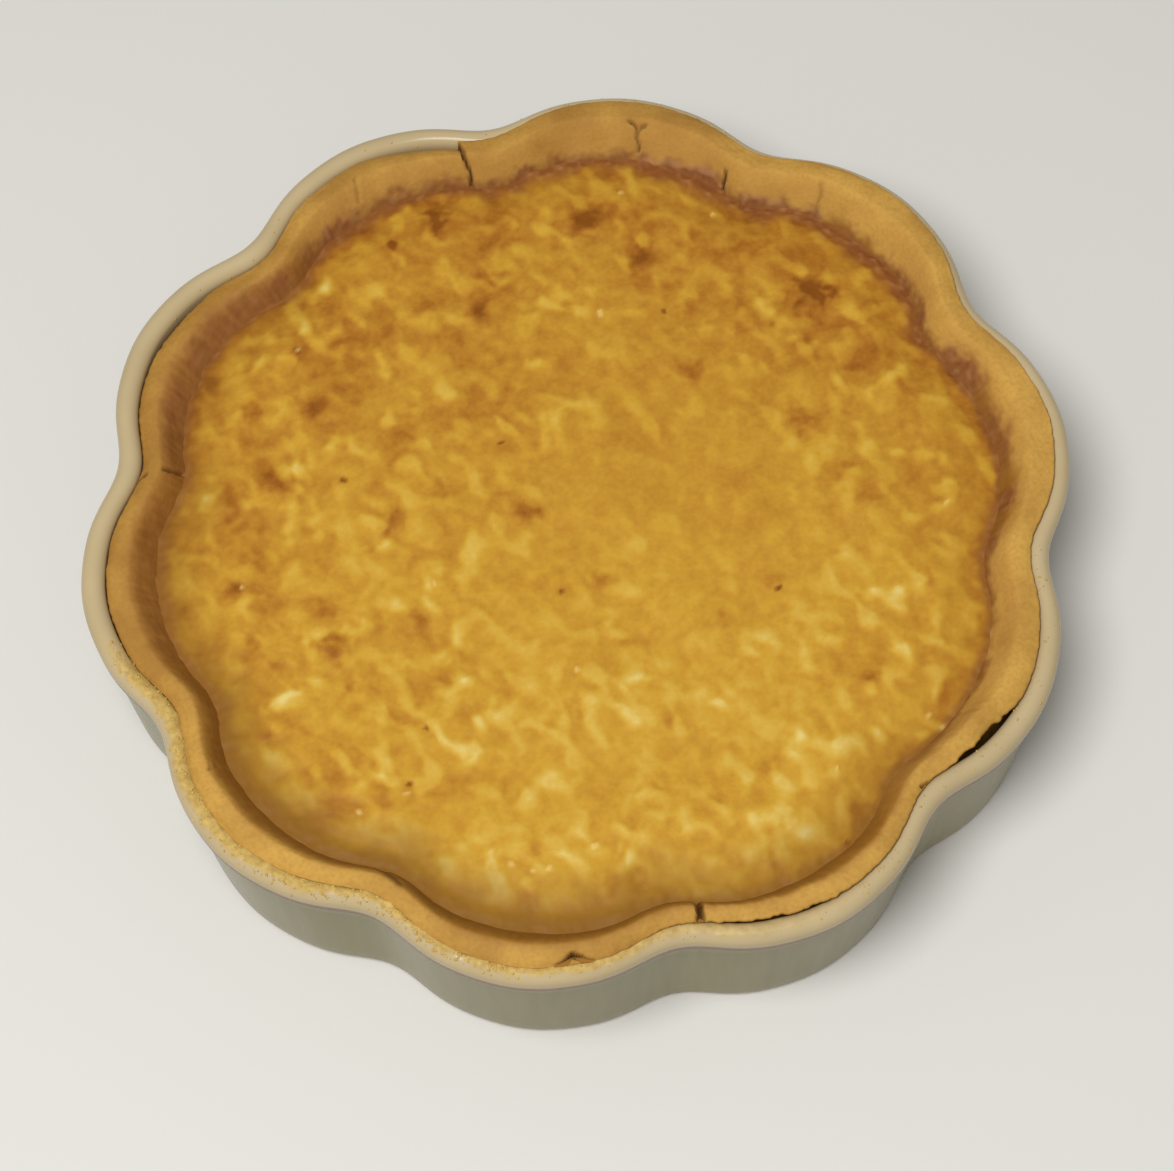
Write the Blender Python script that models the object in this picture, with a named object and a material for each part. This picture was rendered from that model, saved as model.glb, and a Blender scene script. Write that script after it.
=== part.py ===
"""A deep quiche, baked and still in its scalloped ceramic dish.

Three solids, one inside the other: the glazed dish, the pastry case that lines it
and the baked custard that fills the case. Metres, +Z up. The origin is the centre
of the dish's flat underside, and the middle of one lobe points along +X.
"""
import math

import bmesh
import bpy
from mathutils import Vector, noise

# Driving dimensions of the dish, as radii of the scalloped outline's mean circle
RIM_RADIUS = 0.1430          # outer edge of the rim
NECK_RADIUS = 0.1413         # wall just under the rim's bead
BASE_RADIUS = 0.1380         # wall at the foot
DISH_HEIGHT = 0.0586
NECK_DROP = 0.0085           # from the top of the rim down to the neck
RIM_WIDTH = 0.0070           # the rim is a half round of this width
WALL_THICKNESS = 0.0065
FLOOR_THICKNESS = 0.0060
FOOT_ROUND = 0.0040          # outer edge between wall and underside
COVE_RISE = 0.0100           # inner corner between wall and floor
COVE_REACH = 0.0100
ARC_MIDDLE = 0.3             # a rounded corner's middle point, as a share of its size
BEAD_FLARE = 0.75            # how far the wall has flared out to the rim under its bead

# The scallops: broad lobes with tighter valleys between them
LOBES = 10
LOBE_WAVES = (0.0304, -0.0059, 0.0018)   # waves 1, 2 and 3 a lobe, as shares of the radius
LOBE_STEADY = 0.2            # share of a lobe, each way from its middle, where its value holds
FOOT_WAVE_SHARE = 0.963      # the lobes are a little shallower at the foot

# Pastry case
FIT_GAP = 0.0004             # between pastry and dish
LAP_GAP = 0.0005             # between pastry and the rim that it laps over
CASE_FLOOR = 0.0050
CASE_WALL = 0.0055
CASE_WALL_LEAN = 0.3         # halfway up, the case's inner face has gone this far to its foot
CASE_WALL_THICKER = 0.1      # and stands this share of the wall's thickness further in
RIDGE_RISE = 0.0012          # top of the pastry above the dish where it sits inside the rim
RIDGE_LAP_SHARE = 0.45       # and how much it rises with each length that it laps over
RIDGE_PLACE = 0.40           # the ridge's place across the pastry's width
RIDGE_WANDER = 0.0010        # uneven baking of the ridge
WANDER_CIRCLE = 4.4          # the circle on which the ridge reads its noise, and its place
WANDER_PLACE = 7.4
RIDGE_ROUNDING = 0.8         # below 1, the pastry is fuller up to its ridge
SLOPE_ROUNDING = 1.6         # above 1, it is fuller on the way down to the custard
SLUMP_SHARE = 2.2            # how far it has sunk where more than the rim's width is bare
EDGE_THICKNESS = 0.0012      # rounded outer lip of the pastry
EDGE_LIFT = 0.00168          # its least height above the shoulder of the rim's bead
PASTRY_ROWS = (0.0, 0.08, 0.22, 0.40, 0.60, 0.80, 1.0)

# Glazed rim left bare outside the pastry, one value for each lobe from +X round
BARE_RIM = (0.0050, 0.0033, 0.0040, 0.0070, 0.0082, 0.0078, 0.0058, 0.0042, 0.0054, 0.0066)
# Width from the dish's outline to the custard, one value for each lobe
CUSTARD_INSET = (0.0214, 0.0186, 0.0197, 0.0216, 0.0230, 0.0228, 0.0192, 0.0182, 0.0182, 0.0216)
VALLEY_INSET_LESS = 0.0027   # the custard reaches nearer to the dish in the valleys

# Places where the pastry has shrunk from the dish: degrees, half width in degrees, gap
SHRINK_GAPS = ((315.5, 6.5, 0.0024), (279.0, 12.0, 0.0007), (143.0, 11.0, 0.0006))
GAP_BELOW = 0.3              # share of such a gap that is left halfway down the dish

# Radial cracks in the pastry: degrees, start and end across its width, width, depth
CRACKS = (
    (57.3, 0.45, 0.90, 0.0012, 0.0018),
    (70.5, 0.10, 0.55, 0.0012, 0.0020),
    (94.5, 0.00, 0.95, 0.0018, 0.0042),
    (160.5, 0.35, 0.75, 0.0012, 0.0018),
    (258.5, 0.05, 0.40, 0.0022, 0.0022),
    (273.5, 0.00, 0.50, 0.0016, 0.0030),
)

# Custard
FILL_GAP = 0.0004            # between custard and pastry
EDGE_DROP = 0.0095           # custard's edge below the top of the rim
CROWN_DROP = 0.0062          # its even middle below the top of the rim
CROWN_SLOPE = 0.0180         # width of the slope between edge and middle
BUMP_HEIGHT = 0.0009
BUMP_SPACING = 0.022
CUSTARD_SLOPE_ROWS = (0.0035, 0.0090, 0.0180)     # rows in from the edge
CUSTARD_MIDDLE_ROWS = (0.80, 0.58, 0.36, 0.16)    # rows as shares of the last one's radius

COLUMNS_PER_LOBE = 12
ROUND_STEPS = 6              # facets over the half-round rim
LAP_STEPS = 3                # facets where the pastry bends over the rim
SHARP_EDGE = 50.0            # degrees between two faces from which their edge is sharp

# Finishes, as linear base colours and roughness
GLAZE = ((0.60, 0.53, 0.38), 0.25)
PASTRY = ((0.56, 0.30, 0.09), 0.70)
CUSTARD = ((0.60, 0.32, 0.03), 0.40)


def mix(low, high, share):
    return low + (high - low) * share


def smooth(share):
    """Ease a share from 0 to 1, with no slope at either end."""
    share = min(max(share, 0.0), 1.0)
    return share * share * (3 - 2 * share)


def scallop(angle, depth=1.0):
    """Radius of the scalloped outline at an angle, as a share of its mean circle."""
    waves = (size * math.cos((order + 1) * LOBES * angle) for order, size in enumerate(LOBE_WAVES))
    return 1 + depth * sum(waves)


def by_lobe(values, angle):
    """Blend one value for each lobe into a ring that is steady over the lobes."""
    place = (angle / math.tau * LOBES) % LOBES
    lobe = int(place)
    share = smooth((place - lobe - LOBE_STEADY) / (1 - 2 * LOBE_STEADY))
    return mix(values[lobe % LOBES], values[(lobe + 1) % LOBES], share)


def turn_between(angle, degrees):
    """Signed angle from a place given in degrees, in radians."""
    return (angle - math.radians(degrees) + math.pi) % math.tau - math.pi


def bump(distance, half_width):
    """A rounded hump, 1 in the middle and 0 at its half width."""
    return smooth(1 - abs(distance) / half_width)


# Dish

def rim_radius(angle):
    return RIM_RADIUS * scallop(angle)


def wall_radius(angle, height):
    """Outer face of the dish's wall, which leans out from foot to neck."""
    share = height / (DISH_HEIGHT - NECK_DROP)
    return mix(BASE_RADIUS, NECK_RADIUS, share) * scallop(angle, mix(FOOT_WAVE_SHARE, 1.0, share))


def inner_radius(angle, height):
    """Inner face of the dish's wall, which runs straight from the cove to the rim."""
    low = FLOOR_THICKNESS + COVE_RISE
    high = DISH_HEIGHT - RIM_WIDTH / 2
    foot = wall_radius(angle, low) - WALL_THICKNESS
    return mix(foot, rim_radius(angle) - RIM_WIDTH, (height - low) / (high - low))


def dish_section(angle):
    """Half section from the middle of the underside, over the rim, to the inner floor."""
    low = FLOOR_THICKNESS + COVE_RISE
    foot = wall_radius(angle, FOOT_ROUND)
    neck = DISH_HEIGHT - NECK_DROP
    bead = DISH_HEIGHT - RIM_WIDTH
    points = [
        (0.0, 0.0),
        (foot - FOOT_ROUND, 0.0),
        (foot - FOOT_ROUND * ARC_MIDDLE, FOOT_ROUND * ARC_MIDDLE),
        (foot, FOOT_ROUND),
        (wall_radius(angle, neck), neck),
        (mix(wall_radius(angle, neck), rim_radius(angle), BEAD_FLARE), bead),
    ]
    centre = rim_radius(angle) - RIM_WIDTH / 2
    for step in range(ROUND_STEPS + 1):
        turn = math.pi * step / ROUND_STEPS
        height = DISH_HEIGHT - RIM_WIDTH / 2 + RIM_WIDTH / 2 * math.sin(turn)
        points.append((centre + RIM_WIDTH / 2 * math.cos(turn), height))
    cove = inner_radius(angle, low)
    points += [
        (cove, low),
        (cove - COVE_REACH * ARC_MIDDLE, FLOOR_THICKNESS + COVE_RISE * ARC_MIDDLE),
        (cove - COVE_REACH, FLOOR_THICKNESS),
        (0.0, FLOOR_THICKNESS),
    ]
    return points


# Pastry case

def shrink_gap(angle):
    """How far the top of the pastry stands off the dish."""
    return sum(gap * bump(turn_between(angle, degrees), math.radians(half_width))
               for degrees, half_width, gap in SHRINK_GAPS)


def custard_edge(angle):
    """Radius at which the pastry meets the custard's surface."""
    valley = 0.5 - 0.5 * math.cos(LOBES * angle)
    return rim_radius(angle) - by_lobe(CUSTARD_INSET, angle) + VALLEY_INSET_LESS * valley


def crack_depth(angle, across):
    """Depth of the cracks at an angle and at a share of the pastry's width."""
    depth = 0.0
    for degrees, start, end, width, deepest in CRACKS:
        sideways = turn_between(angle, degrees) * RIM_RADIUS
        if abs(sideways) < width / 2 and start - 0.01 <= across <= end + 0.01:
            depth += deepest * (1 - 2 * abs(sideways) / width)
    return depth


def slump(bare):
    """How far the pastry has sunk inside the dish, which shows its rim's inner side."""
    return SLUMP_SHARE * max(0.0, bare - RIM_WIDTH)


def pastry_ridge(angle, bare):
    """Height of the pastry's ridge, higher where it laps over the rim."""
    lap = max(0.0, RIM_WIDTH - bare)
    x = WANDER_CIRCLE * math.cos(angle)
    y = WANDER_CIRCLE * math.sin(angle)
    wander = noise.noise(Vector((x, y, WANDER_PLACE)))
    rise = RIDGE_RISE + RIDGE_LAP_SHARE * lap + RIDGE_WANDER * wander
    return DISH_HEIGHT + rise - slump(bare)


def pastry_height(across, edge, ridge, low):
    """Rounded top: up from the outer edge to the ridge, then down to the custard."""
    if across <= RIDGE_PLACE:
        return mix(edge, ridge, math.sin(math.pi / 2 * across / RIDGE_PLACE) ** RIDGE_ROUNDING)
    return mix(ridge, low, ((across - RIDGE_PLACE) / (1 - RIDGE_PLACE)) ** SLOPE_ROUNDING)


def lap_points(angle, bare):
    """The pastry's underside where it bends over the inner half of the rim."""
    reach = RIM_WIDTH / 2 + LAP_GAP
    centre = rim_radius(angle) - RIM_WIDTH / 2
    shoulder = DISH_HEIGHT - RIM_WIDTH / 2
    last_turn = math.acos(min(1.0, (bare - RIM_WIDTH / 2) / reach))
    points = []
    for step in range(LAP_STEPS + 1):
        share = step / LAP_STEPS
        turn = last_turn * share
        rise = max(reach * math.sin(turn), EDGE_LIFT * share)
        height = shoulder + rise - slump(bare)
        radius = centre - reach * math.cos(turn)
        if height < shoulder:
            radius = min(radius, inner_radius(angle, height) - LAP_GAP)
        points.append((radius - shrink_gap(angle), height))
    return points


def case_wall_radius(angle, inner_foot):
    """Inner face of the pastry halfway down, between the custard's edge and the foot."""
    return mix(custard_edge(angle), inner_foot, CASE_WALL_LEAN) - CASE_WALL * CASE_WALL_THICKER


def case_section(angle):
    """Half section from under the case, up and over the rim, down inside to its floor."""
    low = FLOOR_THICKNESS + COVE_RISE
    cove = inner_radius(angle, low) - FIT_GAP
    mid = DISH_HEIGHT - 2 * EDGE_DROP
    floor = FLOOR_THICKNESS + FIT_GAP
    points = [
        (0.0, floor),
        (cove - COVE_REACH, floor),
        (cove - COVE_REACH * ARC_MIDDLE - FIT_GAP, floor + COVE_RISE * ARC_MIDDLE),
        (cove, low + FIT_GAP),
        (inner_radius(angle, mid) - FIT_GAP - shrink_gap(angle) * GAP_BELOW, mid),
    ]
    lap = lap_points(angle, by_lobe(BARE_RIM, angle))
    points += lap
    edge_radius, edge_height = lap[-1]
    edge_height += EDGE_THICKNESS
    ridge = pastry_ridge(angle, by_lobe(BARE_RIM, angle))
    bottom = DISH_HEIGHT - EDGE_DROP
    for across in PASTRY_ROWS:
        height = pastry_height(across, edge_height, ridge, bottom)
        radius = mix(edge_radius, custard_edge(angle), across)
        points.append((radius, height - crack_depth(angle, across)))
    inner_foot = inner_radius(angle, low) - CASE_WALL
    points += [
        (case_wall_radius(angle, inner_foot), mid),
        (inner_foot, low + CASE_FLOOR),
        (inner_foot - COVE_REACH, floor + CASE_FLOOR),
        (0.0, floor + CASE_FLOOR),
    ]
    return points


# Custard

def custard_height(distance, x, y):
    """Surface of the custard: a slope up from its edge, then a low, uneven crown."""
    rise = math.sin(math.pi / 2 * min(distance / CROWN_SLOPE, 1.0))
    height = DISH_HEIGHT - mix(EDGE_DROP, CROWN_DROP, rise)
    place = Vector((x, y, 0.0)) / BUMP_SPACING
    return height + BUMP_HEIGHT * noise.noise(place) * smooth(distance / CROWN_SLOPE)


def custard_section(angle):
    """Half section from under the custard, out to its edge and in over its surface."""
    low = FLOOR_THICKNESS + COVE_RISE
    mid = DISH_HEIGHT - 2 * EDGE_DROP
    floor = FLOOR_THICKNESS + FIT_GAP + CASE_FLOOR + FILL_GAP
    inner_foot = inner_radius(angle, low) - CASE_WALL
    edge = custard_edge(angle)
    points = [
        (0.0, floor),
        (inner_foot - COVE_REACH - FILL_GAP, floor),
        (inner_foot - FILL_GAP, low + CASE_FLOOR + FILL_GAP),
        (case_wall_radius(angle, inner_foot) - FILL_GAP, mid),
        (edge - FILL_GAP, DISH_HEIGHT - EDGE_DROP),
    ]
    rows = [(edge - inset, inset) for inset in CUSTARD_SLOPE_ROWS]
    rows += [(rows[-1][0] * share, CROWN_SLOPE) for share in CUSTARD_MIDDLE_ROWS]
    for radius, distance in rows:
        x = radius * math.cos(angle)
        y = radius * math.sin(angle)
        points.append((radius, custard_height(distance, x, y)))
    points.append((0.0, custard_height(CROWN_SLOPE, 0.0, 0.0)))
    return points


# Building

def column_angles(with_cracks=False):
    """Angles of the columns of faces, with three more for each crack in the pastry."""
    count = LOBES * COLUMNS_PER_LOBE
    angles = [math.tau * column / count for column in range(count)]
    if with_cracks:
        for degrees, _, _, width, _ in CRACKS:
            half_turn = width / 2 / RIM_RADIUS
            middle = math.radians(degrees)
            sides = (middle - half_turn, middle, middle + half_turn)
            near = [a for a in angles if abs(a - middle) < half_turn * 1.5]
            angles = [a for a in angles if a not in near] + list(sides)
    return sorted(angles)


def turned_body(name, section, angles, material):
    """Closed body from a half section that starts and ends on the axis."""
    mesh = bpy.data.meshes.new(name)
    body = bmesh.new()
    columns = []
    for angle in angles:
        ring = [Vector((r * math.cos(angle), r * math.sin(angle), z)) for r, z in section(angle)]
        columns.append(ring)
    bottom = body.verts.new(columns[0][0])
    top = body.verts.new(columns[0][-1])
    rows = [[body.verts.new(point) for point in ring[1:-1]] for ring in columns]
    for index, here in enumerate(rows):
        following = rows[(index + 1) % len(rows)]
        body.faces.new((bottom, following[0], here[0]))
        body.faces.new((top, here[-1], following[-1]))
        for low in range(len(here) - 1):
            corners = (here[low], following[low], following[low + 1], here[low + 1])
            body.faces.new(corners)
    bmesh.ops.triangulate(body, faces=body.faces[:])
    body.to_mesh(mesh)
    body.free()
    mesh.materials.append(material)
    mesh.shade_smooth()
    mesh.set_sharp_from_angle(angle=math.radians(SHARP_EDGE))
    piece = bpy.data.objects.new(name, mesh)
    bpy.context.scene.collection.objects.link(piece)
    return piece


def finish(name, looks):
    colour, roughness = looks
    material = bpy.data.materials.new(name)
    material.use_nodes = True
    shader = material.node_tree.nodes["Principled BSDF"]
    shader.inputs["Base Color"].default_value = (*colour, 1.0)
    shader.inputs["Roughness"].default_value = roughness
    shader.inputs["Metallic"].default_value = 0.0
    return material


def clear_scene():
    for old in list(bpy.data.objects):
        bpy.data.objects.remove(old, do_unlink=True)


def main():
    clear_scene()
    glaze = finish("cream_glaze", GLAZE)
    pastry = finish("baked_pastry", PASTRY)
    custard = finish("baked_custard", CUSTARD)
    turned_body("dish", dish_section, column_angles(), glaze)
    turned_body("crust", case_section, column_angles(with_cracks=True), pastry)
    turned_body("filling", custard_section, column_angles(), custard)


main()
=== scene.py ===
# %% [markdown]
# # A deep quiche in its scalloped dish
# This lesson dresses three plain solids: a glazed dish, a pastry case and a baked
# custard. The solids fix every size and place, and a finer piece of the same form
# replaces each.

# %% Load the plain solids
import math

import bmesh
import bpy
import numpy as np
from mathutils import Matrix, Vector, noise


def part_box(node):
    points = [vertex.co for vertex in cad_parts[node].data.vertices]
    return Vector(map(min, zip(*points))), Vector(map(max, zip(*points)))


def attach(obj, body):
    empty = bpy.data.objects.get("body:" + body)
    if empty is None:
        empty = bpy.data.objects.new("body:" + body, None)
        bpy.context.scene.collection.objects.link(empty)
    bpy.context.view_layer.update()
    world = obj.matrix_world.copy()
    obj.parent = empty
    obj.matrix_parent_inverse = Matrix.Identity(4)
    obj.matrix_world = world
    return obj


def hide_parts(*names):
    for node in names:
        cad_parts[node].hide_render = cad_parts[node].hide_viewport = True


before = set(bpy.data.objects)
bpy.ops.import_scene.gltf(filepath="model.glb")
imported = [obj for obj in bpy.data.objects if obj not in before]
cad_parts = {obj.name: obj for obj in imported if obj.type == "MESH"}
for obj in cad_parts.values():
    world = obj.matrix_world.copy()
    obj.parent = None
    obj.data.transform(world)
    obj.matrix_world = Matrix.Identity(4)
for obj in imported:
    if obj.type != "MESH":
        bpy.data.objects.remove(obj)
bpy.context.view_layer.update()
print("solids:", sorted(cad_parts))

# %% [markdown]
# ## Sizes
# All lengths are metres. The dish's height and radius are read from its solid. The other
# values repeat those of the solids, so that each fine piece lies on its plain one.

# %% Sizes of the dish
MM = 0.001
LOBES = 10
LOBE_WAVES = (0.0304, -0.0059, 0.0018)
dish_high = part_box("dish")[1]
DISH_HEIGHT = dish_high.z
RIM_RADIUS = dish_high.x / (1 + sum(LOBE_WAVES))
NECK_RADIUS = RIM_RADIUS - 1.7 * MM
BASE_RADIUS = RIM_RADIUS - 5.0 * MM
NECK_DROP = 8.5 * MM
RIM_WIDTH = 7.0 * MM
WALL_THICKNESS = 6.5 * MM
FLOOR_THICKNESS = 6.0 * MM
FOOT_ROUND = 4.0 * MM
FOOT_WAVE_SHARE = 0.963
COVE = 10.0 * MM
print(f"rim radius {RIM_RADIUS / MM:.1f} mm, height {DISH_HEIGHT / MM:.1f} mm")

# %% Sizes of the pastry and the custard
FIT_GAP = 0.4 * MM
LAP_GAP = 0.5 * MM
CASE_FLOOR = 5.0 * MM
CASE_WALL = 5.5 * MM
RIDGE_RISE = 1.2 * MM
RIDGE_LAP_SHARE = 0.45
RIDGE_PLACE = 0.40
RIDGE_WANDER = 1.0 * MM
WANDER_CIRCLE = 4.4
WANDER_PLACE = 7.4
SLUMP_SHARE = 2.2
LIP = 1.2 * MM
EDGE_DROP = 9.5 * MM
CROWN_DROP = 6.2 * MM
CROWN_SLOPE = 18.0 * MM
BUMP_HEIGHT = 0.9 * MM
BUMP_SPACING = 22.0 * MM
VALLEY_INSET_LESS = 2.7 * MM
# One value for each lobe: glazed rim left bare, and width from outline to custard
BARE_RIM = MM * np.array((5.0, 3.3, 4.0, 7.0, 8.2, 7.8, 5.8, 4.2, 5.4, 6.6))
CUSTARD_INSET = MM * np.array((21.4, 18.6, 19.7, 21.6, 23.0, 22.8, 19.2, 18.2, 18.2, 21.6))
# Share of the way across at which gold pastry has half turned to brown, for each lobe
BROWN_AT = np.array((0.68, 0.82, 0.88, 0.82, 0.50, 0.48, 0.50, 0.37, 0.40, 0.87))
BROWN_WIDTH = np.array((0.26, 0.20, 0.18, 0.24, 0.42, 0.48, 0.56, 0.40, 0.36, 0.24))
# How reddish and granular that brown is, from 0 to 1
ROSY = np.array((0.85, 0.95, 1.00, 0.85, 0.60, 0.32, 0.05, 0.00, 0.05, 0.55))
# How far the pastry's gold goes from dull, 0, to light, 1
GILDED = np.array((0.60, 0.65, 0.25, 0.30, 0.05, 0.15, 0.65, 0.35, 0.45, 0.55))
# How brown the custard's border is, how far the pastry's stain reaches over it in mm
BORDER_TAN = np.array((0.12, 0.10, 0.18, 0.12, 0.30, 0.62, 0.95, 0.90, 0.60, 0.25))
STAIN_REACH = np.array((2.0, 5.5, 6.0, 3.5, 1.4, 3.0, 5.0, 4.0, 3.0, 1.8))
# How much browner the custard is in a ring two centimetres in from its border
INNER_RING = np.array((0.3, 0.6, 1.0, 0.4, 0.2, 0.1, 0.4, 0.0, 0.0, 0.2))

# %% [markdown]
# ## The outline
# Ten broad lobes with tighter valleys are a circle with three waves on it. The functions
# work on whole arrays of angles, so that one call gives the outline for every column.

# %% Outline and blending
def mix(low, high, share):
    return low + (high - low) * share


def smooth(share):
    share = np.clip(share, 0.0, 1.0)
    return share * share * (3 - 2 * share)


def scallop(angle, depth=1.0):
    waves = sum(size * np.cos((order + 1) * LOBES * angle) for order, size in enumerate(LOBE_WAVES))
    return 1 + depth * waves


# How far past a lobe's tip, in lobes, its own value holds before the next blends in
LOBE_STEADY = 0.2


def by_lobe(values, angle):
    place = (angle / math.tau * LOBES) % LOBES
    lobe = place.astype(int)
    share = smooth((place - lobe - LOBE_STEADY) / (1 - 2 * LOBE_STEADY))
    return mix(values[lobe % LOBES], values[(lobe + 1) % LOBES], share)


def degrees_from(angle, degrees):
    return (np.degrees(angle) - degrees + 180) % 360 - 180


def hump(distance, half_width):
    return smooth(1 - np.abs(distance) / half_width)


def rim_radius(angle):
    return RIM_RADIUS * scallop(angle)


def wall_radius(angle, height):
    share = height / (DISH_HEIGHT - NECK_DROP)
    return mix(BASE_RADIUS, NECK_RADIUS, share) * scallop(angle, mix(FOOT_WAVE_SHARE, 1.0, share))


def inner_radius(angle, height):
    low = FLOOR_THICKNESS + COVE
    high = DISH_HEIGHT - RIM_WIDTH / 2
    foot = wall_radius(angle, low) - WALL_THICKNESS
    return mix(foot, rim_radius(angle) - RIM_WIDTH, (height - low) / (high - low))


tip_and_valley = np.radians([0.0, 180 / LOBES])
print("lobe tip and valley:", np.round(rim_radius(tip_and_valley) / MM, 1), "mm")

# %% [markdown]
# ## Noise
# Clay, dough and egg are never even. Smooth noise with a known spacing gives each its own
# unevenness, the same on every run.

# %% Noise at a real spacing
def noise_at(points, spacing, seed):
    """Smooth noise, about -1 to 1, at points of shape (..., 3) in metres."""
    shift = Vector((seed * 7.31, seed * 3.17, seed * 5.03))
    flat = (points.reshape(-1, 3) / spacing).tolist()
    values = [noise.noise(Vector(point) + shift) for point in flat]
    return np.array(values).reshape(points.shape[:-1])


def polar_points(angles, radii, heights):
    """Points in space from tables of radii and heights, with one column for each angle."""
    return np.stack((radii * np.cos(angles), radii * np.sin(angles), heights), axis=-1)


# %% [markdown]
# ## Pulling a round body
# Dish and pastry are both round bodies with lobes. A potter's way works for both: start
# from a circle, pull it up ring by ring with Extrude and Scale, and fill both ends. A
# table then gives each ring its true radius and height at every angle, which presses
# the round body into its lobes.

# %% A body pulled ring by ring
def vertex_places(piece):
    places = np.empty(len(piece.data.vertices) * 3)
    piece.data.vertices.foreach_get("co", places)
    return places.reshape(-1, 3)


def face_outwards():
    """Turns the faces of the shell in edit mode outwards, and shades it smooth."""
    bpy.ops.mesh.select_all(action="SELECT")
    bpy.ops.mesh.normals_make_consistent(inside=False)
    bpy.ops.object.mode_set(mode="OBJECT")
    bpy.ops.object.shade_smooth_by_angle(angle=math.radians(60))


def pull_rings(name, radii, heights):
    """Tables have a row for each ring, outside first, and a column for each angle."""
    rows, columns = radii.shape
    round_radii = radii.mean(axis=1)
    round_heights = heights.mean(axis=1)
    bpy.ops.object.select_all(action="DESELECT")
    bpy.ops.mesh.primitive_circle_add(vertices=columns, radius=round_radii[0],
                                      location=(0, 0, round_heights[0]), enter_editmode=True)
    for row in range(1, rows):
        rise = round_heights[row] - round_heights[row - 1]
        growth = round_radii[row] / round_radii[row - 1]
        bpy.ops.mesh.extrude_edges_move(TRANSFORM_OT_translate={"value": (0, 0, rise)})
        bpy.ops.transform.resize(value=(growth, growth, 1),
                                 center_override=(0, 0, round_heights[row]))
    bpy.ops.mesh.edge_face_add()
    bpy.ops.mesh.select_all(action="DESELECT")
    body = bmesh.from_edit_mesh(bpy.context.object.data)
    for edge in body.edges:
        edge.select_set(all(vertex.index < columns for vertex in edge.verts))
    bpy.ops.mesh.edge_face_add()
    bpy.ops.object.mode_set(mode="OBJECT")
    bpy.ops.object.transform_apply(location=True, rotation=True, scale=True)
    piece = bpy.context.object
    piece.name = name
    piece.data.name = name
    press(piece, radii, heights)
    bpy.ops.object.mode_set(mode="EDIT")
    face_outwards()
    print(name, f"{rows} rings of {columns}, {len(piece.data.polygons)} faces")
    return piece


def ring_places(piece, columns):
    """Row and column in the tables for every vertex of a body that pull_rings made."""
    places = vertex_places(piece)
    turn = np.arctan2(places[:, 1], places[:, 0])
    column = np.round(turn / math.tau * columns).astype(int) % columns
    return np.arange(len(places)) // columns, column


def press(piece, radii, heights):
    columns = radii.shape[1]
    row, column = ring_places(piece, columns)
    turn = column * math.tau / columns
    radius = radii[row, column]
    places = np.stack((radius * np.cos(turn), radius * np.sin(turn), heights[row, column]), axis=1)
    piece.data.vertices.foreach_set("co", places.ravel())
    piece.data.update()


def paint(piece, name, table):
    """Stores a table of values on a pulled body's vertices, for its material to read."""
    row, column = ring_places(piece, table.shape[1])
    values = piece.data.attributes.new(name, "FLOAT", "POINT")
    values.data.foreach_set("value", table[row, column].astype(np.float32))


# %% [markdown]
# ## Dish
# The dish is cast stoneware with a half-round rim and a wall that leans out. Its section
# is a short list of corners with arcs between them. The rim gets most of the rings,
# because it catches the light. Cast ware is uneven by a few tenths of a millimetre.

# %% Section of the dish
DISH_COLUMNS = 960
RIM_RINGS = 18
WALL_RINGS = 8
INSIDE_RINGS = 6
FOOT_RINGS = 6
COVE_RINGS = 5
FOOT_RING_WIDTH = 6.0 * MM
FOOT_RING_DEPTH = 1.2 * MM
# From neck to rim: shares of the way up and of the way out
BEAD_FLARE = ((0.3, 0.18), (0.6, 0.62), (0.85, 0.92))
# How far under its widest place the rim's round starts, in radians
BEAD_START = -0.25
# Where the smear on the rim starts and how soon it is full, in degrees
SMEAR_START = 184
SMEAR_RISE = 8


def ring_tables(rings, angle):
    """Tables of radii and heights from a list of rings, each a radius and a height."""
    return [np.array([ring[part] + 0 * angle for ring in rings]) for part in (0, 1)]


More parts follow.
